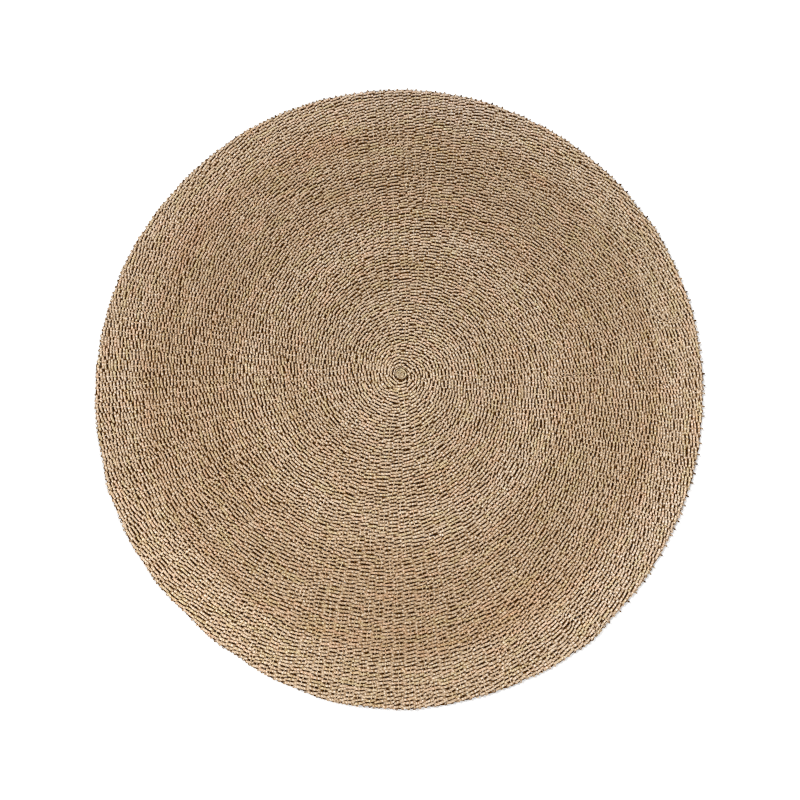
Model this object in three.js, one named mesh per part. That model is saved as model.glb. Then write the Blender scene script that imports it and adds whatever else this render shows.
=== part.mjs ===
// A round rug, hand twined from plant-fibre cord in one row that spirals out from a knot.
// Millimetres, +Z up. It lies flat, its underside at z = 0, the middle of its box at the origin.
// Seen from above, the row winds outwards counter-clockwise and runs out at the lower right.

import * as THREE from 'three';

// Driving dimensions
const thickness = 10;
const grooveDepth = 3.5; // from the crest of a row to the groove beside it
const rowCount = 92; // rows from the middle of the knot to the rim, where the last one ends
const knotRows = 2; // radius of the knot, in rows
const rimRadius = 763.7; // mean reach of the rim, where the last row ends
const knotOffset = new THREE.Vector2(8.5, 20.3); // the rows lie closer together beyond it
const rowEndAngle = THREE.MathUtils.degToRad(314);
const rowEndTaper = 0.022; // of a turn, over which the last row thins out
const warpEnds = 188; // turned back round the rim
const warpEndStand = { least: 1.6, most: 4 };
const warpEndUnevenness = { quick: 2.4, slow: 0.37 }; // how fast the stand changes, in radians
const rimHeight = 5; // of the widest line of the rim
const rimUndercut = 2.5; // from the widest line to the edge of the flat underside
const chordSag = 3.4; // the most that a straight step of a row cuts off its curve
const fewestSteps = 8; // in the smallest turn
const stepMultiple = 4; // steps in a turn come in such groups

// How the hand-drawn-in outline differs from a circle. A swell is in millimetres, and towards
// is the direction in degrees in which the first of its waves is highest.
const outlineWaves = [
  { waves: 1, swell: 5.9, towards: 60 },
  { waves: 2, swell: 9.7, towards: 93 },
  { waves: 3, swell: 1.3, towards: 36 },
  { waves: 4, swell: 1.1, towards: 10 },
  { waves: 5, swell: 0.6, towards: 45 },
  { waves: 6, swell: 1.2, towards: 23 },
  { waves: 7, swell: 0.9, towards: 7 },
  { waves: 8, swell: 0.7, towards: 35 },
];

const turns = rowCount - knotRows; // that the row makes round the knot
const fullTurn = 2 * Math.PI;

// The reach of the rim from the origin, in a direction
function rimReach(angle) {
  return outlineWaves.reduce((reach, { waves, swell, towards }) => {
    const peak = THREE.MathUtils.degToRad(towards);
    return reach + swell * Math.cos(waves * (angle - peak));
  }, rimRadius);
}

// A place so many rows out from the middle of the knot. Each direction is shared out evenly.
function placeAt(rowsOut, angle, height) {
  const share = rowsOut / rowCount;
  const reach = share * rimReach(angle);
  const x = (1 - share) * knotOffset.x + reach * Math.cos(angle);
  const y = (1 - share) * knotOffset.y + reach * Math.sin(angle);
  return new THREE.Vector3(x, y, height);
}

// A walk counts the turns along the row from the knot. Below 0 it goes round the knot itself.
function angleAt(walk) {
  return rowEndAngle + fullTurn * (walk - turns);
}

// The groove outside the row, in rows from the middle. It closes on the turn inside it at both
// ends of the row, so the row starts and ends in a thin tail.
function grooveRows(walk) {
  if (walk <= 0) return knotRows;
  const left = turns - walk;
  const width = Math.min(1, left / rowEndTaper);
  return grooveRows(walk - 1) + (walk < 1 ? walk : width);
}

function isRim(walk) {
  return walk >= turns - 1;
}

// How far the warp end nearest to a step of the rim stands out. Every other step has one.
function warpEndAt(step) {
  if (step % 2 === 0) return 0;
  const { quick, slow } = warpEndUnevenness;
  const share = 0.5 + 0.5 * Math.sin(quick * step) * Math.cos(slow * step);
  return THREE.MathUtils.lerp(warpEndStand.least, warpEndStand.most, share);
}

// Steps in one turn of the row, more of them where the turn is larger
function stepsPerTurn(walk) {
  if (isRim(walk)) return 2 * warpEnds;
  const radius = (grooveRows(walk) / rowCount) * rimRadius;
  const needed = Math.max(fewestSteps, Math.PI * Math.sqrt(radius / (2 * chordSag)));
  return stepMultiple * Math.ceil(needed / stepMultiple);
}

// Walks of all steps from one turn before the row starts to its end
function listWalks() {
  const walks = [];
  for (let turn = -1; turn < turns; turn += 1) {
    const steps = stepsPerTurn(turn);
    for (let step = 0; step < steps; step += 1) walks.push(turn + step / steps);
  }
  walks.push(turns);
  return walks;
}

const corners = [];
const faces = [];

function addCorner(place) {
  corners.push(place.x, place.y, place.z);
  return corners.length / 3 - 1;
}

// Grooves, with the outermost one as the rim. The first and last steps close loops.
function addGrooves(walks) {
  const line = [];
  for (const walk of walks) {
    if (walk === 0) line.push(line[0]);
    else if (walk === turns) line.push(line[walks.indexOf(turns - 1)]);
    else {
      const rim = isRim(walk);
      const step = Math.round((walk - turns + 1) * 2 * warpEnds);
      const place = placeAt(
        grooveRows(walk),
        angleAt(walk),
        rim ? rimHeight : thickness - grooveDepth,
      );
      const stand = rim ? warpEndAt(step) : 0;
      place.x += stand * Math.cos(angleAt(walk));
      place.y += stand * Math.sin(angleAt(walk));
      line.push(addCorner(place));
    }
  }
  return line;
}

// Crests, midway between the grooves inside and outside them
function addCrests(walks, grooves) {
  const start = walks.indexOf(0);
  return walks.slice(start).map((walk, index) => {
    if (walk === 0 || walk === turns) return grooves[start + index];
    const width = grooveRows(walk) - grooveRows(walk - 1);
    const rowsOut = grooveRows(walk) - width / 2;
    const height = thickness - grooveDepth * (1 - Math.min(1, 2 * width));
    return addCorner(placeAt(rowsOut, angleAt(walk), height));
  });
}

// Fills the band between two lines, each with its own steps, that start and end together
function addBand(inner, innerWalks, outer, outerWalks) {
  let i = 0;
  let o = 0;
  while (i < inner.length - 1 || o < outer.length - 1) {
    const innerNext = i < inner.length - 1 ? innerWalks[i + 1] : Infinity;
    const outerNext = o < outer.length - 1 ? outerWalks[o + 1] : Infinity;
    const stepInner = innerNext < outerNext;
    const next = stepInner ? inner[i + 1] : outer[o + 1];
    const triangle = [inner[i], outer[o], next];
    if (new Set(triangle).size === 3) faces.push(...triangle);
    if (stepInner) i += 1;
    else o += 1;
  }
}

function addFan(centre, loop, faceUp) {
  for (let index = 0; index < loop.length; index += 1) {
    const here = loop[index];
    const next = loop[(index + 1) % loop.length];
    faces.push(centre, ...(faceUp ? [here, next] : [next, here]));
  }
}

function addRows() {
  const walks = listWalks();
  const grooves = addGrooves(walks);
  const crests = addCrests(walks, grooves);
  const start = walks.indexOf(0);
  const lastTurn = walks.indexOf(turns - 1);
  const crestWalks = walks.slice(start);
  const insideWalks = walks.slice(0, lastTurn + 1).map((walk) => walk + 1);
  addBand(grooves.slice(0, lastTurn + 1), insideWalks, crests, crestWalks);
  addBand(crests, crestWalks, grooves.slice(start), crestWalks);
  return { knotLoop: grooves.slice(0, start), rimLoop: grooves.slice(lastTurn, -1) };
}

function addKnot(loop) {
  const top = addCorner(placeAt(0, 0, thickness));
  addFan(top, loop, true);
}

// The rim turns under to the flat underside, which is what the rug lies on
function addUnderside(rimLoop) {
  const edge = rimLoop.map((corner) => {
    const place = new THREE.Vector3().fromArray(corners, 3 * corner);
    const reach = Math.hypot(place.x, place.y);
    place.multiplyScalar((reach - rimUndercut) / reach);
    place.z = 0;
    return addCorner(place);
  });
  rimLoop.forEach((corner, index) => {
    const after = (index + 1) % rimLoop.length;
    faces.push(corner, edge[index], rimLoop[after]);
    faces.push(rimLoop[after], edge[index], edge[after]);
  });
  addFan(addCorner(placeAt(0, 0, 0)), edge, false);
}

function makeRug() {
  const { knotLoop, rimLoop } = addRows();
  addKnot(knotLoop);
  addUnderside(rimLoop);
  const geometry = new THREE.BufferGeometry();
  geometry.setAttribute('position', new THREE.Float32BufferAttribute(corners, 3));
  geometry.setIndex(faces);
  geometry.computeBoundingBox();
  const middle = geometry.boundingBox.getCenter(new THREE.Vector3());
  geometry.translate(-middle.x, -middle.y, 0);
  geometry.computeVertexNormals();
  const fibre = new THREE.MeshStandardMaterial({
    color: 0xb09a7c,
    roughness: 0.85,
    metalness: 0,
    flatShading: true,
  });
  const rug = new THREE.Mesh(geometry, fibre);
  rug.name = 'rug';
  return rug;
}

const group = new THREE.Group();
group.add(makeRug());

export default group;
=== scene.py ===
"""A round rug, hand twined from two plant-fibre cords in one row that spirals out from a knot.

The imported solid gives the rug's place and size. This script lays the real cords in its place:
two cords that twist round each other between the warps, the warps that run out under them,
their ends turned back round the rim, and the knot that the row starts from.
"""

import math

import bmesh
import bpy
import numpy as np
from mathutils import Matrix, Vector


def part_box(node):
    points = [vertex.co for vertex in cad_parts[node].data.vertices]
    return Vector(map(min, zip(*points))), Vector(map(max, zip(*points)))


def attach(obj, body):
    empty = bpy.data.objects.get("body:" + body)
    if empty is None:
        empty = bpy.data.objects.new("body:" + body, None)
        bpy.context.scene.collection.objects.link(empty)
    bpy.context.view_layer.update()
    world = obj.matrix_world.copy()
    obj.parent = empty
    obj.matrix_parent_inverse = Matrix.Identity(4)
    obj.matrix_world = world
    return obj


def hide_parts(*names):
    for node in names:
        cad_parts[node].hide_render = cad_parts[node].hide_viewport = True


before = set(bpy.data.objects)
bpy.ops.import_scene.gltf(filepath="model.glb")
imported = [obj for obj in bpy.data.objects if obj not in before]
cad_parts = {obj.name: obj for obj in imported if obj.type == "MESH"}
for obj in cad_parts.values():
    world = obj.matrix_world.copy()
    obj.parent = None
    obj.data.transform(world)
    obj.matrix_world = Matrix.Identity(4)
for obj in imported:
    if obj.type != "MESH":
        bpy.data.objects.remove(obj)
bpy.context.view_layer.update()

# The rug, in metres
MM = 0.001
ROW_COUNT = 92  # rows from the middle of the knot to the rim
KNOT_ROWS = 2
TURNS = ROW_COUNT - KNOT_ROWS
RIM_RADIUS = 763.7 * MM
KNOT_OFFSET = (8.5 * MM, 20.3 * MM)
KNOT_PULL = (-3.5 * MM, -1.5 * MM)  # of the first rows, aside from the middle of the others
KNOT_PULL_REACH = 60 * MM
ROW_END_ANGLE = math.radians(314)
ROW_END_TAPER = 0.022  # of a turn, over which the last row thins out
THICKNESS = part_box("rug")[1].z
MIDDLE_HEIGHT = THICKNESS / 2
MEAN_ROW = RIM_RADIUS / ROW_COUNT

# The outline's swells: how many waves go round, how high in metres, and where the first peaks
OUTLINE_WAVES = [
    {"waves": 1, "swell": 5.9 * MM, "towards": 60},
    {"waves": 2, "swell": 9.7 * MM, "towards": 93},
    {"waves": 3, "swell": 1.3 * MM, "towards": 36},
    {"waves": 4, "swell": 1.1 * MM, "towards": 10},
    {"waves": 5, "swell": 0.6 * MM, "towards": 45},
    {"waves": 6, "swell": 1.2 * MM, "towards": 23},
    {"waves": 7, "swell": 0.9 * MM, "towards": 7},
    {"waves": 8, "swell": 0.7 * MM, "towards": 35},
]

# Waves of the hand's uneven tension, which draw whole rows aside together
HAND_SEED = 3
HAND_WAVES = 12
HAND_WAVE_LENGTHS = (40 * MM, 170 * MM)
HAND_WAVE_SWELL = 0.0045  # of its length

# The two cords of a row
CORDS = ("first_cord", "second_cord")
CORD_RISE = 2.95 * MM  # of a cord's middle over the middle of the rug
CORD_PLUNGE = 1.0  # how sharply a cord dives between two warps
CORD_SWING = 0.3  # of a cord's middle to each side of the row's middle, in row widths
SLACK = 0.25  # the most that a loose stitch lies lower, of the cord's rise
RING_PLACES = (0.17, 0.42, 0.58, 0.83)  # of a cord's rings, on the way from warp to warp
CORD_SIDES = 6
THINNEST_ROW = 0.3  # of a full row's width, to which the cords' height still shrinks
THINNEST_HALF_WIDTH = 0.7 * MM  # of a cord in the row's thin tails

# A cord's section on the side that is pressed round a warp, beside the other cord, and on top
FACINGS = (-1, -0.6, 0, 1)
HALF_WIDTHS = (0.58, 0.36, 0.28, 0.18)  # in row widths
HALF_HEIGHTS = (3.4 * MM, 2.9 * MM, 2.5 * MM, 2.0 * MM)
GAP_FACINGS = (-0.8, 0.3)  # from full painted shade between the cords to full painted daylight
BANDS = 3  # of rows. In each of them each cord is a piece of its own

# How the weave strays from an even one: how much at most, over what length of cord, and the
# seed of its draw. The spacing of early is in warps, and that of wound in radians.
STRAYS = {
    "early": {"most": 0.2, "spacing": 1.0, "seed": 71},  # a stitch, in shares of the way on
    "swing": {"most": 0.4, "spacing": 30 * MM, "seed": 13},  # both cords' swing, in shares of it
    "sway": {"most": 0.8 * MM, "spacing": 30 * MM, "seed": 11},  # both cords, aside
    "shift": {"most": 0.6 * MM, "spacing": 8 * MM, "seed": 41},  # each cord, aside
    "slack": {"most": 0.5, "spacing": 12 * MM, "seed": 31},  # each cord, to each side of half slack
    "thick": {"most": 0.12, "spacing": 22 * MM, "seed": 21},  # each cord's width, in shares
    "knobbly": {"most": 0.12, "spacing": 8 * MM, "seed": 61},  # the same, from knob to knob
    # Strays of the painted daylight of the warps and the coils, which paints them partly in the
    # gaps' shade colour
    "warp_daylight": {"most": 0.4, "spacing": 8 * MM, "seed": 51},
    "wound": {"most": 0.08, "spacing": 1.1, "seed": 81},  # a coil's radius, in shares
    "coil_daylight": {"most": 0.2, "spacing": 6 * MM, "seed": 83},
}

# The warps
WARP_SEED = 7
WARP_SPACING = 25 * MM
FEWEST_WARPS = 6
GAP_FACTORS = (0.93, 1.07)  # drawn for each gap, before the widest takes a new warp
WARP_EVENING = 0.12  # of the way to the middle between its neighbours, from turn to turn
WARP_SWAY = 0.07  # of the spacing, from turn to turn
WARP_HALF_WIDTH = 1.5 * MM
WARP_HALF_HEIGHT = 2.3 * MM
WARP_SIDES = 4
WARP_STOP = 0.1  # of a row inside the rim, where a warp goes over into its turned-back end
# Painted daylight of the warps, which lie deep between the cords: they are painted partly in the
# gaps' shade colour
WARP_DAYLIGHT = 0.62

# The warps' ends, turned back in loops. Pairs are the least and the most
LOOP_SEED = 17
LOOPS_PER_WARP = 2
LOOP_STAND = (2.2 * MM, 4.6 * MM)  # of an end, out of the rim
LOOP_HALF_WIDTH = 3.1 * MM
LOOP_WIDTH_FACTORS = (0.75, 1.1)
LOOP_LEAN = 1.1 * MM  # aside, as a rule
LOOP_THICKNESS = 1.3 * MM
LOOP_LIFT = -0.5 * MM  # of its lower end, from the middle of the rug
LOOP_LIFT_STRAY = 0.5 * MM
# Painted daylight of the loops, drawn for each between the two: it paints them partly in the gaps'
# shade colour
LOOP_DAYLIGHT = (0.5, 0.9)
LOOP_CORD = 30 * MM  # length of cord in it
LOOP_PATTERN_STEP = 0.1  # of the fibre's pattern, from each loop to the next
LOOP_SIDES = 5

# A loop's points, from its lower root to its upper one. Aside is in half widths of the loop, and
# lean and reach are shares of its own
LOOP_POINTS = [
    {"aside": -1, "lean": 0, "reach": 0, "inward": 6 * MM, "up": 0},
    {"aside": -1, "lean": 0, "reach": 0, "inward": 1.5 * MM, "up": 0},
    {"aside": -0.75, "lean": 0.6, "reach": 0.7, "inward": 0, "up": 0.5 * MM},
    {"aside": 0, "lean": 1, "reach": 1, "inward": 0, "up": 1.0 * MM},
    {"aside": 0.75, "lean": 0.6, "reach": 0.7, "inward": 0, "up": 1.5 * MM},
    {"aside": 1, "lean": 0, "reach": 0, "inward": 1.5 * MM, "up": 2.0 * MM},
    {"aside": 1, "lean": 0, "reach": 0, "inward": 6 * MM, "up": 1.0 * MM},
]

# The knot: the first warps cross in it, and cord is wound round them
KNOT_SIDES = 8
KNOT_BOW = 2.5 * MM  # by which the warps bow apart as they cross
KNOT_TIE_LIFT = 0.6 * MM  # of the lowest of them
KNOT_TIE_STEP = 0.9 * MM  # from each to the next
KNOT_TIE_RINGS = 9
KNOT_TIE_DAYLIGHT = (0.35, 0.75)  # painted daylight at its low ends and at its raised middle
KNOT_COIL_STEP = math.radians(30)  # from ring to ring
# Each coil's daylight is painted: it paints the coil partly in the gaps' shade colour, the lower
# coil more
KNOT_COILS = [
    {
        "from": 2 * MM,
        "to": 18 * MM,
        "turns": 3.6,
        "start": 40,
        "height": 2.6 * MM,
        "half_width": 3.2 * MM,
        "half_height": 2.2 * MM,
        "daylight": 0.45,
    },
    {
        "from": 2.5 * MM,
        "to": 13.5 * MM,
        "turns": 2.75,
        "start": 320,
        "height": 6.2 * MM,
        "half_width": 2.1 * MM,
        "half_height": 1.8 * MM,
        "daylight": 0.72,
    },
]

# Where each kind of cord starts in the fibre's pattern, in metres, so that no two have the same
PATTERN_STARTS = {
    "first_cord": 0,
    "second_cord": 250,
    "warps": 500,
    "loops": 750,
    "ties": 1000,
    "coils": 1250,
}

# Names of the maps and attributes that the materials read, and of the map laid out for baking
STRAND_MAP = "strand"
BAKE_MAP = "OFBake"
# Painted daylight of each corner: low values paint it in the gaps' shade colour, high ones keep the
# fibre's own colour
PAINTED_DAYLIGHT = "daylight"
ROWS_OUT = "rows_out"
TINT = "tint"

# Tints are factors of the fibre's red, green and blue. Out is a share of the way to the rim.
# Whole rings differ a little in lightness and hue
RING_TINTS = [
    {"out": 0.0, "tint": (1.08, 1.12, 1.16)},
    {"out": 0.25, "tint": (0.98, 1.01, 1.05)},
    {"out": 0.37, "tint": (0.98, 0.98, 0.98)},
    {"out": 0.44, "tint": (1.03, 1.06, 1.11)},
    {"out": 0.51, "tint": (1.02, 1.05, 1.09)},
    {"out": 0.55, "tint": (0.97, 0.96, 0.96)},
    {"out": 0.68, "tint": (0.93, 0.92, 0.91)},
    {"out": 0.75, "tint": (0.96, 0.96, 0.96)},
    {"out": 0.83, "tint": (0.95, 0.92, 0.9)},
    {"out": 0.87, "tint": (1.05, 1.08, 1.12)},
    {"out": 1.0, "tint": (1.09, 1.12, 1.17)},
]

# Soft patches: where each lies, in degrees and shares, and how far it spreads
PATCH_TINTS = [
    {"towards": 270, "out": 0.82, "along": 190 * MM, "across": 230 * MM, "tint": (0.89, 0.87, 0.83)},
    {"towards": 298, "out": 0.80, "along": 120 * MM, "across": 60 * MM, "tint": (1.03, 0.99, 0.95)},
    {"towards": 28, "out": 0.86, "along": 200 * MM, "across": 150 * MM, "tint": (0.94, 0.95, 0.93)},
    {"towards": 330, "out": 0.62, "along": 160 * MM, "across": 60 * MM, "tint": (0.97, 0.99, 0.97)},
    {"towards": 108, "out": 0.86, "along": 90 * MM, "across": 40 * MM, "tint": (1.03, 0.96, 0.93)},
    {"towards": 142, "out": 0.86, "along": 150 * MM, "across": 45 * MM, "tint": (1.03, 0.96, 0.95)},
    {"towards": 152, "out": 0.66, "along": 220 * MM, "across": 260 * MM, "tint": (0.96, 0.95, 0.94)},
    {"towards": 70, "out": 0.80, "along": 600 * MM, "across": 300 * MM, "tint": (0.91, 0.92, 0.93)},
    {"towards": 198, "out": 0.72, "along": 260 * MM, "across": 260 * MM, "tint": (1.05, 1.04, 1.03)},
    {"towards": 240, "out": 0.65, "along": 350 * MM, "across": 400 * MM, "tint": (1.06, 1.06, 1.05)},
    {"towards": 80, "out": 0.98, "along": 330 * MM, "across": 60 * MM, "tint": (0.97, 0.98, 1.04)},
    {"towards": 320, "out": 0.92, "along": 260 * MM, "across": 80 * MM, "tint": (1.06, 1.08, 1.12)},
    {"towards": 225, "out": 0.96, "along": 330 * MM, "across": 110 * MM, "tint": (1.12, 1.12, 1.12)},
]

# Patches where the gaps' painted shade is lighter, or, below 0, darker
GAP_PATCHES = [
    {"towards": 265, "out": 0.85, "along": 330 * MM, "across": 300 * MM, "painted_light": 0.22},
    {"towards": 20, "out": 0.90, "along": 300 * MM, "across": 120 * MM, "painted_light": 0.12},
    {"towards": 85, "out": 0.65, "along": 250 * MM, "across": 350 * MM, "painted_light": -0.12},
    {"towards": 185, "out": 0.65, "along": 250 * MM, "across": 350 * MM, "painted_light": -0.12},
]


# Plan of the rows

def rim_reach(angle):
    reach = np.full(np.shape(angle), RIM_RADIUS)
    for wave in OUTLINE_WAVES:
        reach += wave["swell"] * np.cos(wave["waves"] * (angle - math.radians(wave["towards"])))
    return reach


def place_at(rows_out, angle):
    """Plan position so many rows out from the middle of the knot."""
    share = rows_out / ROW_COUNT
    reach = share * rim_reach(angle)
    x = (1 - share) * KNOT_OFFSET[0] + reach * np.cos(angle)
    y = (1 - share) * KNOT_OFFSET[1] + reach * np.sin(angle)
    return np.stack([x, y], axis=-1)


def angle_at(walk):
    """A walk counts the turns along the row from the knot."""
    return ROW_END_ANGLE + 2 * math.pi * (walk - TURNS)


def outer_groove(walk):
    """Rows out to the groove outside the row. It closes on the turn inside it at both ends."""
    left = np.clip((TURNS - walk) / ROW_END_TAPER, 0, 1)
    return KNOT_ROWS + np.maximum(walk, 0) - np.where(walk > 1, 1 - left, 0)


def inner_groove(walk):
    return KNOT_ROWS + np.maximum(walk - 1, 0)


def row_line(walk):
    """Middle of the row, its outward direction and its width, for an array of walks."""
    angle = angle_at(walk)
    inner = inner_groove(walk)
    outer = outer_groove(walk)
    middle = place_at((inner + outer) / 2, angle)
    outward = place_at(inner + 1, angle) - place_at(inner, angle)
    pitch = np.linalg.norm(outward, axis=-1)
    return middle, outward / pitch[:, None], pitch * (outer - inner)


def length_at(walk):
    """Length of the row up to a walk, close enough to keep the cords' marks in step."""
    start = KNOT_ROWS * MEAN_ROW
    radius = start + walk * MEAN_ROW
    return math.pi * (radius**2 - start**2) / MEAN_ROW


def drawn_by_hand(plan):
    """Plan positions pulled a little aside, together, by the uneven tension of the hand."""
    draw = np.random.default_rng(HAND_SEED)
    pulled = plan.copy()
    for length in np.geomspace(*HAND_WAVE_LENGTHS, HAND_WAVES):
        heading, phase, pull = draw.uniform(0, 2 * math.pi, 3)
        across = plan @ np.array([math.cos(heading), math.sin(heading)])
        wave = HAND_WAVE_SWELL * length * np.sin(2 * math.pi * across / length + phase)
        pulled += wave[..., None] * np.array([math.cos(pull), math.sin(pull)])
    reach = np.linalg.norm(plan - np.array(KNOT_OFFSET), axis=-1)
    return pulled + np.exp(-((reach / KNOT_PULL_REACH) ** 2))[..., None] * np.array(KNOT_PULL)


def soft_noise(position, spacing, seed):
    """Smooth noise from -1 to 1 along a line, with a new value at each spacing."""
    position = np.asarray(position) / spacing
    start = int(np.floor(position.min())) - 1
    count = int(np.ceil(position.max())) - start + 3
    values = np.random.default_rng(seed).uniform(-1, 1, count)
    cell = np.floor(position).astype(int) - start
    part = position - np.floor(position)
    part = part * part * (3 - 2 * part)
    return values[cell] * (1 - part) + values[cell + 1] * part


def stray(name, along, which=0):
    """How far the weave strays at each place along. Each of two cords may have its own draw."""
    kind = STRAYS[name]
    return kind["most"] * soft_noise(along, kind["spacing"], kind["seed"] + which)


def smooth_step(value, low, high):
    share = np.clip((value - low) / (high - low), 0, 1)
    return share * share * (3 - 2 * share)


def patch_share(plan, patch):
    """How much of a soft patch lies at each plan position, from 0 to 1."""
    angle = math.radians(patch["towards"])
    outward = np.array([math.cos(angle), math.sin(angle)])
    onward = np.array([-outward[1], outward[0]])
    offset = plan - patch["out"] * RIM_RADIUS * outward
    across = offset @ outward / patch["across"]
    along = offset @ onward / patch["along"]
    return np.exp(-(across**2) - along**2)


def painted_gap_light_at(plan):
    """How much lighter the gaps' painted shade is, added to the way that the cord faces."""
    return sum(patch_share(plan, patch) * patch["painted_light"] for patch in GAP_PATCHES)


def tint_at(plan, rows_out):
    """The tint of the fibre at each plan position, from the rings and the soft patches."""
    outs = [ring["out"] for ring in RING_TINTS]
    rings = np.array([ring["tint"] for ring in RING_TINTS])
    share = rows_out / ROW_COUNT
    tint = np.column_stack([np.interp(share, outs, channel) for channel in rings.T])
    for patch in PATCH_TINTS:
        tint *= 1 + patch_share(plan, patch)[:, None] * (np.array(patch["tint"]) - 1)
    return tint


def set_warps():
    """The walk at which each warp crosses each turn of the row, with the warp's number.

    New warps go into the widest gaps as the turns get longer, and all of them even out a little
    from turn to turn, which bends their lines as in the real weave.
    """
    draw = np.random.default_rng(WARP_SEED)
    spots = (np.arange(FEWEST_WARPS) + 0.5) / FEWEST_WARPS
    names = list(range(FEWEST_WARPS))
    crossings = []
    for turn in range(TURNS):
        radius = (KNOT_ROWS + turn + 0.5) * MEAN_ROW
        wanted = max(FEWEST_WARPS, round(2 * math.pi * radius / WARP_SPACING))
        while len(spots) < wanted:
            after = np.append(spots[1:], spots[0] + 1)
            gaps = (after - spots) * draw.uniform(*GAP_FACTORS, len(spots))
            widest = int(np.argmax(gaps))
            new = (spots[widest] + after[widest]) / 2
            spots = np.insert(spots, widest + 1, new)
            names.insert(widest + 1, max(names) + 1)
        crossings += [(turn + spot, name) for spot, name in zip(spots, names)]
        before = np.append(spots[-1] - 1, spots[:-1])
        after = np.append(spots[1:], spots[0] + 1)
        sway = draw.normal(0, WARP_SWAY * WARP_SPACING / (2 * math.pi * radius), len(spots))
        spots = spots + WARP_EVENING * ((before + after) / 2 - spots) + sway
    crossings.sort()
    return crossings


# Tubes, all closed, of many rings

def ring_angles(sides):
    """Directions of a ring's corners, from half a side up."""
    return 2 * math.pi * (np.arange(sides) + 0.5) / sides


def tube_run(middles, aside, half_width, half_height, along, daylight, rows_out):
    """The arrays of one tube, a row for each ring. Some may have a value for each side too.

    Aside is the direction to the right of the way along, in the plan.
    """
    count = len(middles)
    flat = np.column_stack([aside, np.zeros(count)])
    return {
        "middles": middles,
        "aside": flat,
        "half_width": np.asarray(half_width),
        "half_height": np.asarray(half_height),
        "along": along,
        "daylight": np.asarray(daylight),
        "rows_out": np.broadcast_to(rows_out, count),
    }


def per_corner(values, count, sides):
    """Spreads one value for the tube, for each ring, or for each corner, over all corners."""
    if values.ndim == 1:
        values = values[:, None]
    return np.broadcast_to(values, (count, sides))


def tube_points(run, around):
    count = len(run["middles"])
    sides = len(around)
    across = per_corner(run["half_width"], count, sides) * np.cos(around)
    upward = per_corner(run["half_height"], count, sides) * np.sin(around)
    points = run["middles"][:, None, :] + run["aside"][:, None, :] * across[..., None]
    points[..., 2] += upward
    return points.reshape(-1, 3)


def side_corners(low, high, count, sides):
    """Corner coordinates of each side face: from low to high along u, and side by side along v."""
    u_low = np.broadcast_to(low[:, None], (count - 1, sides))
    u_high = np.broadcast_to(high[:, None], (count - 1, sides))
    v_low = np.broadcast_to(np.arange(sides) / sides, (count - 1, sides))
    v_high = v_low + 1 / sides
    us = np.stack([u_low, u_high, u_high, u_low], axis=-1)
    vs = np.stack([v_low, v_low, v_high, v_high], axis=-1)
    return np.stack([us, vs], axis=-1).reshape(-1, 2)


def bake_layout(steps, sides):
    """Lays a piece's side faces out in one square without overlap, in lines of equal length."""
    face_shape = 2.3  # length of a cord's face over its width
    per_line = math.ceil(math.sqrt(steps * sides / face_shape))
    lines = math.ceil(steps / per_line)
    number = np.arange(steps)
    left = (number % per_line) / per_line
    layout = side_corners(left, left + 1 / per_line, steps + 1, sides)
    line = np.repeat(number // per_line, sides * 4)
    layout[:, 1] = (line + layout[:, 1]) / lines
    return layout


def tube_sides(first, count, sides):
    """Corners of a tube's side faces, from its first corner on."""
    side = np.arange(sides)
    next_side = (side + 1) % sides
    low = first + sides * np.arange(count - 1)[:, None]
    corners = [low + side, low + side + sides, low + next_side + sides, low + next_side]
    return np.stack(corners, axis=-1).reshape(-1, 4)


def tube_ends(first, count, sides):
    """Corners of the two faces that close a tube."""
    side = np.arange(sides)
    return np.stack([first + side, first + (count - 1) * sides + side[::-1]])


def set_maps(mesh, runs, sides):
    """The maps for the material and the bake. On the faces that close the tubes both are 0.

    The map strand has the way along the cord in metres and the way round it from 0 to 1.
    """
    strand = np.concatenate(
        [side_corners(run["along"][:-1], run["along"][1:], len(run["along"]), sides) for run in runs]
    )
    layout = bake_layout(len(strand) // (4 * sides), sides)
    ends = np.zeros((len(mesh.loops) - len(strand), 2))
    for label, coordinates in ((STRAND_MAP, strand), (BAKE_MAP, layout)):
        uv_map = mesh.uv_layers.new(name=label)
        uv_map.data.foreach_set("uv", np.concatenate([coordinates, ends]).ravel())


def set_attributes(mesh, runs, sides):
    """Painted daylight, rows out and tint at each corner of the tubes."""
    daylight = [per_corner(run["daylight"], len(run["along"]), sides).ravel() for run in runs]
    rows = [np.repeat(run["rows_out"], sides) for run in runs]
    for label, values in ((PAINTED_DAYLIGHT, daylight), (ROWS_OUT, rows)):
        attribute = mesh.attributes.new(label, "FLOAT", "POINT")
        attribute.data.foreach_set("value", np.concatenate(values))
    tints = []
    for run in runs:
        tint = tint_at(run["middles"][:, :2], run["rows_out"])
        tints.append(np.repeat(np.column_stack([tint, np.ones(len(tint))]), sides, axis=0))
    attribute = mesh.attributes.new(TINT, "FLOAT_COLOR", "POINT")
    attribute.data.foreach_set("color", np.concatenate(tints).ravel())


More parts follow.
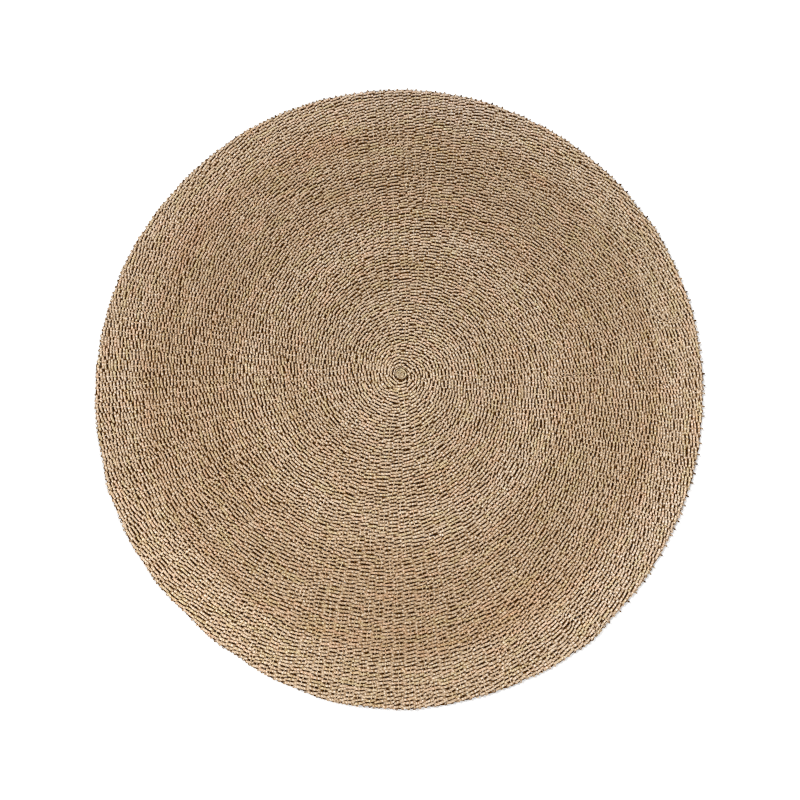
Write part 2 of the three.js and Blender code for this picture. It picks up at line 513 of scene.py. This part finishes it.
def tube_mesh(name, runs, sides):
    """One mesh of closed tubes, with the maps and attributes that its material reads."""
    around = ring_angles(sides)
    points = np.concatenate([tube_points(run, around) for run in runs])
    counts = np.array([len(run["middles"]) for run in runs])
    tubes = list(zip(sides * (np.cumsum(counts) - counts), counts))
    quads = np.concatenate([tube_sides(first, count, sides) for first, count in tubes])
    ends = np.concatenate([tube_ends(first, count, sides) for first, count in tubes])
    sizes = np.concatenate([np.full(len(quads), 4), np.full(len(ends), sides)])
    mesh = bpy.data.meshes.new(name)
    mesh.vertices.add(len(points))
    mesh.vertices.foreach_set("co", points.ravel())
    mesh.loops.add(sizes.sum())
    mesh.loops.foreach_set("vertex_index", np.concatenate([quads.ravel(), ends.ravel()]))
    mesh.polygons.add(len(sizes))
    mesh.polygons.foreach_set("loop_start", np.cumsum(sizes) - sizes)
    mesh.polygons.foreach_set("use_smooth", np.ones(len(sizes), dtype=bool))
    set_maps(mesh, runs, sides)
    set_attributes(mesh, runs, sides)
    mesh.update(calc_edges=True)
    mesh.validate()
    return mesh


def add_piece(mesh, material):
    mesh.materials.append(material)
    piece = bpy.data.objects.new(mesh.name, mesh)
    bpy.context.scene.collection.objects.link(piece)
    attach(piece, "root")
    return piece


# The rug's pieces

def cord_run(walk, columns, which):
    """One of the row's two cords, over arrays of walks and of the warps passed on the way.

    Over a warp it slants from the outside of the row to the inside, and under the next one back.
    """
    middle, outward, width = row_line(walk)
    steps = np.linalg.norm(np.diff(middle, axis=0), axis=1)
    along = length_at(walk[0]) + np.concatenate([[0], np.cumsum(steps)])
    phase = math.pi * (columns + which)
    rise = np.tanh(CORD_PLUNGE * np.cos(phase)) / math.tanh(CORD_PLUNGE)
    slant = np.arcsin(np.sin(phase)) * 2 / math.pi
    swing = -CORD_SWING * width * slant * (1 + stray("swing", along))
    swing += stray("sway", along)
    swing += stray("shift", along, which)
    place = drawn_by_hand(middle + outward * swing[:, None])
    full = np.clip(width / MEAN_ROW, THINNEST_ROW, 1)
    tension = 1 - SLACK * (0.5 + stray("slack", along, which))
    height = MIDDLE_HEIGHT + full * tension * CORD_RISE * rise
    upper = np.sin(ring_angles(CORD_SIDES)) > 0
    facing = np.where(upper, rise[:, None], -rise[:, None])
    plump = 1 + stray("thick", along, which)
    plump += stray("knobbly", along, which)
    half_width = np.interp(facing, FACINGS, HALF_WIDTHS) * (width * plump)[:, None]
    half_width = np.maximum(half_width, THINNEST_HALF_WIDTH)
    half_height = np.interp(facing, FACINGS, HALF_HEIGHTS) * full[:, None]
    return tube_run(
        middles=np.column_stack([place, height]),
        aside=outward,
        half_width=half_width / math.cos(math.pi / CORD_SIDES),
        half_height=half_height,
        along=along + PATTERN_STARTS[CORDS[which]],
        # Painted shade: the more a corner faces in between the cords, the more it is painted in the
        # gaps' shade colour, and some patches get lighter painted shade
        daylight=smooth_step(facing + painted_gap_light_at(place)[:, None], *GAP_FACINGS),
        rows_out=(inner_groove(walk) + outer_groove(walk)) / 2,
    )


def make_rows(crossings, fibre):
    """Both cords in bands of rows. Gives each band's two pieces and the rows it lies between."""
    numbers = np.arange(len(crossings))
    columns = (numbers[:-1, None] + np.array(RING_PLACES)).ravel()
    places = columns + stray("early", columns)
    walks = np.interp(places, numbers, [walk for walk, name in crossings])
    share = len(columns) // BANDS
    bands = []
    for band in range(BANDS):
        start = band * share
        end = len(columns) if band == BANDS - 1 else (band + 1) * share + 1
        runs = [cord_run(walks[start:end], columns[start:end], which) for which in (0, 1)]
        pieces = []
        for cord, run in zip(CORDS, runs):
            piece = add_piece(tube_mesh(f"rows_{band + 1}_{cord}", [run], CORD_SIDES), fibre)
            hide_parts("rug")
            pieces.append(piece)
        bands.append((pieces, *runs[0]["rows_out"][[0, -1]]))
    return bands


def warp_run(walks, number):
    """One warp, from its inmost row to the rim."""
    middle, outward = row_line(walks)[:2]
    edge = place_at(ROW_COUNT - WARP_STOP, angle_at(walks[-1:]))
    outward = np.concatenate([outward, outward[-1:]])
    aside = np.column_stack([outward[:, 1], -outward[:, 0]])
    place = drawn_by_hand(np.concatenate([middle, edge]))
    along = np.concatenate([[0], np.cumsum(np.linalg.norm(np.diff(place, axis=0), axis=1))])
    along += PATTERN_STARTS["warps"] + number
    rows_out = (inner_groove(walks) + outer_groove(walks)) / 2
    count = len(place)
    corner = math.cos(math.pi / WARP_SIDES)
    return tube_run(
        middles=np.column_stack([place, np.full(count, MIDDLE_HEIGHT)]),
        aside=aside,
        half_width=np.full(count, WARP_HALF_WIDTH / corner),
        half_height=np.full(count, WARP_HALF_HEIGHT / corner),
        along=along,
        daylight=WARP_DAYLIGHT + stray("warp_daylight", along),
        rows_out=np.append(rows_out, ROW_COUNT),
    )


def make_warps(crossings, fibre):
    """All the warps, each from the rows where it starts to the rim."""
    lines = {}
    for walk, number in crossings:
        lines.setdefault(number, []).append(walk)
    runs = [
        warp_run(np.array(walks), number) for number, walks in lines.items() if len(walks) > 1
    ]
    return add_piece(tube_mesh("warps", runs, WARP_SIDES), fibre)


def knot_tie(walks, number):
    """A warp that crosses the knot, from the first row on one side to the one on the other."""
    middle = row_line(np.array(walks))[0]
    start, end = drawn_by_hand(middle)
    way = (end - start) / np.linalg.norm(end - start)
    aside = np.array([way[1], -way[0]])
    share = np.linspace(0, 1, KNOT_TIE_RINGS)
    hump = np.sin(math.pi * share) ** 2
    bow = KNOT_BOW * (number - 1) * hump
    place = start + share[:, None] * (end - start) + bow[:, None] * aside
    height = MIDDLE_HEIGHT + (KNOT_TIE_LIFT + KNOT_TIE_STEP * number) * hump
    dim, lit = KNOT_TIE_DAYLIGHT
    return tube_run(
        middles=np.column_stack([place, height]),
        aside=np.broadcast_to(aside, (KNOT_TIE_RINGS, 2)),
        half_width=np.full(KNOT_TIE_RINGS, WARP_HALF_WIDTH),
        half_height=np.full(KNOT_TIE_RINGS, WARP_HALF_WIDTH),
        along=share * 2 * KNOT_ROWS * MEAN_ROW + PATTERN_STARTS["ties"] + number,
        daylight=dim + (lit - dim) * hump,
        rows_out=KNOT_ROWS * np.abs(2 * share - 1),
    )


def knot_coil(coil):
    """Cord wound round the middle of the knot."""
    turned = np.arange(0, 2 * math.pi * coil["turns"], KNOT_COIL_STEP)
    share = turned / turned[-1]
    radius = coil["from"] + (coil["to"] - coil["from"]) * share
    radius = radius * (1 + stray("wound", turned))
    angle = math.radians(coil["start"]) + turned
    outward = np.column_stack([np.cos(angle), np.sin(angle)])
    middle = place_at(0, 0.0) + radius[:, None] * outward
    along = PATTERN_STARTS["coils"] + np.cumsum(radius * KNOT_COIL_STEP)
    return tube_run(
        middles=np.column_stack([drawn_by_hand(middle), np.full(len(angle), coil["height"])]),
        aside=outward,
        half_width=np.full(len(angle), coil["half_width"]),
        half_height=np.full(len(angle), coil["half_height"]),
        along=along,
        daylight=coil["daylight"] + stray("coil_daylight", along),
        rows_out=radius / MEAN_ROW,
    )


def make_knot(crossings, fibre):
    """The first warps, laid across each other, and the cord wound round their crossing."""
    first = [walk for walk, name in crossings[:FEWEST_WARPS]]
    half = FEWEST_WARPS // 2
    runs = [knot_tie([first[number], first[number + half]], number) for number in range(half)]
    runs += [knot_coil(coil) for coil in KNOT_COILS]
    return add_piece(tube_mesh("knot", runs, KNOT_SIDES), fibre)


def loop_run(walk, number, draw):
    """A warp's end, out of the rim at a walk, over to one side and back in above itself."""
    angle = angle_at(walk)
    edge = drawn_by_hand(place_at(float(outer_groove(walk)), angle))
    outward = np.array([math.cos(angle), math.sin(angle)])
    onward = np.array([-outward[1], outward[0]])
    reach = draw.uniform(*LOOP_STAND) - LOOP_THICKNESS
    half = LOOP_HALF_WIDTH * draw.uniform(*LOOP_WIDTH_FACTORS)
    lean = draw.normal(0, LOOP_LEAN)
    lift = MIDDLE_HEIGHT + LOOP_LIFT + draw.normal(0, LOOP_LIFT_STRAY)
    middles = []
    for point in LOOP_POINTS:
        aside = point["aside"] * half + point["lean"] * lean
        out = point["reach"] * reach - point["inward"]
        middles.append([*(edge + aside * onward + out * outward), lift + point["up"]])
    middles = np.array(middles)
    way = np.gradient(middles[:, :2], axis=0)
    way /= np.linalg.norm(way, axis=1)[:, None]
    count = len(middles)
    start = PATTERN_STARTS["loops"] + LOOP_PATTERN_STEP * number
    return tube_run(
        middles=middles,
        aside=np.column_stack([way[:, 1], -way[:, 0]]),
        half_width=np.full(count, LOOP_THICKNESS),
        half_height=np.full(count, LOOP_THICKNESS),
        along=start + np.linspace(0, LOOP_CORD, count),
        daylight=np.full(count, draw.uniform(*LOOP_DAYLIGHT)),
        rows_out=ROW_COUNT,
    )


def make_rim_ends(crossings, fibre):
    """The warps' ends, each turned back into the last row in small loops."""
    draw = np.random.default_rng(LOOP_SEED)
    last = np.array([walk for walk, name in crossings if walk > TURNS - 1 - ROW_END_TAPER])
    places = np.arange(0, len(last) - 1, 1 / LOOPS_PER_WARP)
    spots = np.interp(places, np.arange(len(last)), last)
    runs = [loop_run(walk, number, draw) for number, walk in enumerate(spots)]
    return add_piece(tube_mesh("turned_back_ends", runs, LOOP_SIDES), fibre)


# Materials

# Fibre colours from the darkest strand to the palest, then the painted shade colours of the gaps
# between the cords
FIBRE_COLOURS = [
    (0.0, (0.18, 0.105, 0.042)),
    (0.25, (0.39, 0.25, 0.135)),
    (0.5, (0.595, 0.45, 0.31)),
    (0.75, (0.775, 0.655, 0.525)),
    (1.0, (0.92, 0.83, 0.72)),
]
GAP_PAINTED_SHADES = [(0.35, (0.027, 0.007, 0.0)), (0.7, (0.1, 0.04, 0.006))]
GAP_PAINTED_SHADE_SPACING = 9 * MM  # of changes in the gaps' painted shade colour, along a cord
GAP_DAYLIGHTS = (0.3, 0.95)  # of painted daylight, from the gaps' painted shade colour to the fibre's own
REDDISH = (1.08, 0.93, 0.88, 1)
GREENISH = (0.97, 1.02, 0.82, 1)
HUE_NOISES = (0.5, 0.7)  # from none of a hue to the most of it
HUE_MOST = 0.6

# The twist: the length of cord in which its two strands go once round each other, and how far
# from the groove between them, in turns, a strand is at its full height
LAY = 15 * MM
CROWN = 0.35
STRAND_HEIGHT = 0.35 * MM
STREAK_HEIGHT = 0.8  # of a strand's

# How fine the pattern is, and how much each part of it lightens the fibre
STREAKS_ALONG = 120.0  # to a metre of cord
STREAKS_AROUND = 22.0  # to one turn round it
PATCHES = 16.0  # to a metre of the rug
PATCH_ROWS = 1.8  # rows that a patch spans
MEAN_LIGHT = 0.42
# The crowns of the twisted strands are painted lighter and the groove between them darker: painted
# light and shade of the twist
MEAN_CROWN = 0.7
CROWN_PAINTED_LIGHT = 0.18
STREAK_LIGHT = 0.8
PATCH_LIGHT = 0.15
LENGTHWISE_LIGHTS = [
    {"spacing": 250 * MM, "light": 0.2},
    {"spacing": 14 * MM, "light": 0.15},
    {"spacing": 5 * MM, "light": 0.85},
]


def add_node(tree, kind, inputs=None, **settings):
    """A node with its settings, and its inputs joined to other outputs or set to values."""
    node = tree.nodes.new(kind)
    for name, value in settings.items():
        setattr(node, name, value)
    for name, value in (inputs or {}).items():
        if isinstance(value, bpy.types.NodeSocket):
            tree.links.new(value, node.inputs[name])
        else:
            node.inputs[name].default_value = value
    return node


def maths(tree, operation, *values):
    node = add_node(tree, "ShaderNodeMath", dict(enumerate(values)), operation=operation)
    return node.outputs["Value"]


def fitted(tree, value, low, high, to_low, to_high):
    """A value's stretch from low to high, softly fitted between two others."""
    inputs = {
        "Value": value,
        "From Min": low,
        "From Max": high,
        "To Min": to_low,
        "To Max": to_high,
    }
    node = add_node(tree, "ShaderNodeMapRange", inputs, interpolation_type="SMOOTHSTEP")
    return node.outputs["Result"]


def noise_along(tree, along, spacing):
    """Noise with a new value at each spacing along a cord."""
    where = maths(tree, "DIVIDE", along, spacing)
    inputs = {"W": where, "Scale": 1.0, "Detail": 1.0}
    node = add_node(tree, "ShaderNodeTexNoise", inputs, noise_dimensions="1D")
    return node.outputs["Fac"]


def mixed(tree, share, first, second, way="MIX"):
    inputs = {"Factor": share, "A": first, "B": second}
    node = add_node(tree, "ShaderNodeMix", inputs, data_type="RGBA", blend_type=way)
    return node.outputs["Result"]


def ramp(tree, value, stops):
    """Colours, or greys, that follow a value through listed stops."""
    node = add_node(tree, "ShaderNodeValToRGB", {"Fac": value})
    elements = node.color_ramp.elements
    while len(elements) < len(stops):
        elements.new(1.0)
    for element, (position, colour) in zip(elements, stops):
        element.position = position
        element.color = (*colour, 1)
    return node.outputs["Color"]


def attribute(tree, name, output="Fac"):
    return add_node(tree, "ShaderNodeAttribute", attribute_name=name).outputs[output]


def twist(tree, along, around):
    """Two strands twisted together, with fibres that run along each of them.

    Gives the strands' crowns, from 0 in the groove between them to 1, and the fibres' streaks.
    """
    turns = maths(tree, "MULTIPLY_ADD", along, 1 / LAY, around)
    strand_side = maths(tree, "PINGPONG", maths(tree, "MULTIPLY", turns, 2.0), 0.5)
    crown = fitted(tree, strand_side, 0.0, CROWN, 0.0, 1.0)
    spot = {
        "X": maths(tree, "MULTIPLY", along, STREAKS_ALONG),
        "Y": maths(tree, "MULTIPLY", turns, STREAKS_AROUND),
    }
    where = add_node(tree, "ShaderNodeCombineXYZ", spot).outputs["Vector"]
    inputs = {"Vector": where, "Scale": 1.0, "Detail": 2.0}
    streaks = add_node(tree, "ShaderNodeTexNoise", inputs, noise_dimensions="2D")
    return crown, streaks.outputs["Fac"]


def fibre_patches(tree):
    """Noise in patches of like colour, which lie along the rows."""
    place = add_node(tree, "ShaderNodeTexCoord").outputs["Object"]
    flat = add_node(tree, "ShaderNodeSeparateXYZ", {"Vector": place})
    spot = {
        "X": maths(tree, "MULTIPLY", flat.outputs["X"], PATCHES),
        "Y": maths(tree, "MULTIPLY", flat.outputs["Y"], PATCHES),
        "Z": maths(tree, "DIVIDE", attribute(tree, ROWS_OUT), PATCH_ROWS),
    }
    where = add_node(tree, "ShaderNodeCombineXYZ", spot).outputs["Vector"]
    inputs = {"Vector": where, "Scale": 1.0, "Detail": 2.0}
    return add_node(tree, "ShaderNodeTexNoise", inputs)


def fibre_light(tree, along, crown, streaks, patches):
    """How light the fibre is, from 0 for the darkest strand to 1 for the palest, with painted light
    on the twist's crowns and painted shade in its grooves.
    """
    parts = [
        (noise_along(tree, along, part["spacing"]), part["light"]) for part in LENGTHWISE_LIGHTS
    ]
    parts += [(streaks, STREAK_LIGHT), (patches.outputs["Fac"], PATCH_LIGHT)]
    light = MEAN_LIGHT
    for noise, weight in parts:
        centred = maths(tree, "SUBTRACT", noise, 0.5)
        light = maths(tree, "MULTIPLY_ADD", centred, weight, light)
    # Painted light on the strands' crowns and painted shade in the groove between them
    centred = maths(tree, "SUBTRACT", crown, MEAN_CROWN)
    return maths(tree, "MULTIPLY_ADD", centred, CROWN_PAINTED_LIGHT, light)


def fibre_colour(tree, light, patches):
    """The colour of a strand, reddish or greenish in some patches, and tinted."""
    hues = add_node(tree, "ShaderNodeSeparateColor", {"Color": patches.outputs["Color"]})
    colour = ramp(tree, light, FIBRE_COLOURS)
    for hue, factors in (("Red", REDDISH), ("Green", GREENISH)):
        share = fitted(tree, hues.outputs[hue], *HUE_NOISES, 0.0, HUE_MOST)
        colour = mixed(tree, share, colour, factors, "MULTIPLY")
    return mixed(tree, 1.0, colour, attribute(tree, TINT, "Color"), "MULTIPLY")


def fibre_material():
    """Twisted plant fibre, from dark brown through tan and straw to cream."""
    material = bpy.data.materials.new("twisted_fibre")
    material.use_nodes = True
    tree = material.node_tree
    shader = tree.nodes["Principled BSDF"]
    strand = add_node(tree, "ShaderNodeUVMap", uv_map=STRAND_MAP).outputs["UV"]
    way = add_node(tree, "ShaderNodeSeparateXYZ", {"Vector": strand})
    along = way.outputs["X"]
    crown, streaks = twist(tree, along, way.outputs["Y"])
    patches = fibre_patches(tree)
    light = fibre_light(tree, along, crown, streaks, patches)
    colour = fibre_colour(tree, light, patches)

    # Painted shade: deep between the cords the fibre is painted a dark shaded brown, by each
    # corner's painted daylight
    gap_painted_shade = ramp(tree, noise_along(tree, along, GAP_PAINTED_SHADE_SPACING), GAP_PAINTED_SHADES)
    lit = fitted(tree, attribute(tree, PAINTED_DAYLIGHT), *GAP_DAYLIGHTS, 0.0, 1.0)
    colour = mixed(tree, lit, gap_painted_shade, colour)
    tree.links.new(colour, shader.inputs["Base Color"])

    height = maths(tree, "MULTIPLY_ADD", streaks, STREAK_HEIGHT, crown)
    bump_inputs = {"Height": height, "Strength": 0.5, "Distance": STRAND_HEIGHT}
    bump = add_node(tree, "ShaderNodeBump", bump_inputs)
    tree.links.new(bump.outputs["Normal"], shader.inputs["Normal"])
    shader.inputs["Roughness"].default_value = 0.75
    shader.inputs["Specular IOR Level"].default_value = 0.02
    return material


def floor_material():
    material = bpy.data.materials.new("pale_floor")
    material.use_nodes = True
    shader = material.node_tree.nodes["Principled BSDF"]
    shader.inputs["Base Color"].default_value = (0.9, 0.9, 0.9, 1)
    shader.inputs["Roughness"].default_value = 0.9
    shader.inputs["Specular IOR Level"].default_value = 0.1
    return material


# Camera, floor and light

CAMERA_DISTANCE = 1.83
CAMERA_LEAN = math.radians(8)  # from straight above, towards the rug's near side
CAMERA_AIM = Vector((2.3 * MM, -45.1 * MM, 0))
LENS = 33.31
SENSOR_WIDTH = 36
FLOOR_HALF = 12
FLOOR_DROP = 0.2 * MM  # below the rug's underside
WORLD_STRENGTH = 0.45
LAMP_ANGLE = math.radians(25)

# Where each lamp stands, in degrees round the rug, how far it leans from above, and its power
LAMPS = [
    {"name": "key", "towards": 150, "lean": 50, "power": 2.0},
    {"name": "fill_left", "towards": 240, "lean": 55, "power": 0.95},
    {"name": "fill_right", "towards": 330, "lean": 55, "power": 0.95},
    {"name": "fill_far", "towards": 60, "lean": 55, "power": 0.95},
]


def add_camera():
    """Above the rug and a little towards its near side, as the photograph was taken."""
    camera_data = bpy.data.cameras.new("camera")
    camera_data.lens = LENS
    camera_data.sensor_width = SENSOR_WIDTH
    camera = bpy.data.objects.new("camera", camera_data)
    back = Vector((0, -math.sin(CAMERA_LEAN), math.cos(CAMERA_LEAN)))
    camera.location = CAMERA_AIM + CAMERA_DISTANCE * back
    camera.rotation_euler = (CAMERA_LEAN, 0, 0)
    bpy.context.scene.collection.objects.link(camera)
    bpy.context.scene.camera = camera


def add_floor():
    shape = bmesh.new()
    bmesh.ops.create_grid(shape, x_segments=1, y_segments=1, size=FLOOR_HALF)
    bmesh.ops.translate(shape, vec=(0, 0, -FLOOR_DROP), verts=shape.verts)
    mesh = bpy.data.meshes.new("floor")
    shape.to_mesh(mesh)
    shape.free()
    mesh.materials.append(floor_material())
    floor = bpy.data.objects.new("floor", mesh)
    bpy.context.scene.collection.objects.link(floor)


def add_light():
    world = bpy.data.worlds.new("studio")
    bpy.context.scene.world = world
    world.use_nodes = True
    background = world.node_tree.nodes["Background"]
    background.inputs["Color"].default_value = (1, 1, 1, 1)
    background.inputs["Strength"].default_value = WORLD_STRENGTH
    for lamp in LAMPS:
        data = bpy.data.lights.new(lamp["name"], "SUN")
        data.energy = lamp["power"]
        data.angle = LAMP_ANGLE
        sun = bpy.data.objects.new(lamp["name"], data)
        sun.rotation_euler = (0, math.radians(lamp["lean"]), math.radians(lamp["towards"]))
        bpy.context.scene.collection.objects.link(sun)


def main():
    add_camera()
    fibre = fibre_material()
    crossings = set_warps()
    bands = make_rows(crossings, fibre)
    knot = make_knot(crossings, fibre)
    under = [make_warps(crossings, fibre), make_rim_ends(crossings, fibre)]
    for number, ((first, second), from_row, to_row) in enumerate(bands):
        others = [second]
        if number == 0:
            others.append(knot)
        if number == BANDS - 1:
            others += under
    add_floor()
    add_light()
    bpy.context.scene.view_settings.view_transform = "Standard"
    bpy.context.scene.cycles.use_denoising = False
    bpy.context.scene.cycles.filter_width = 1.0


main()
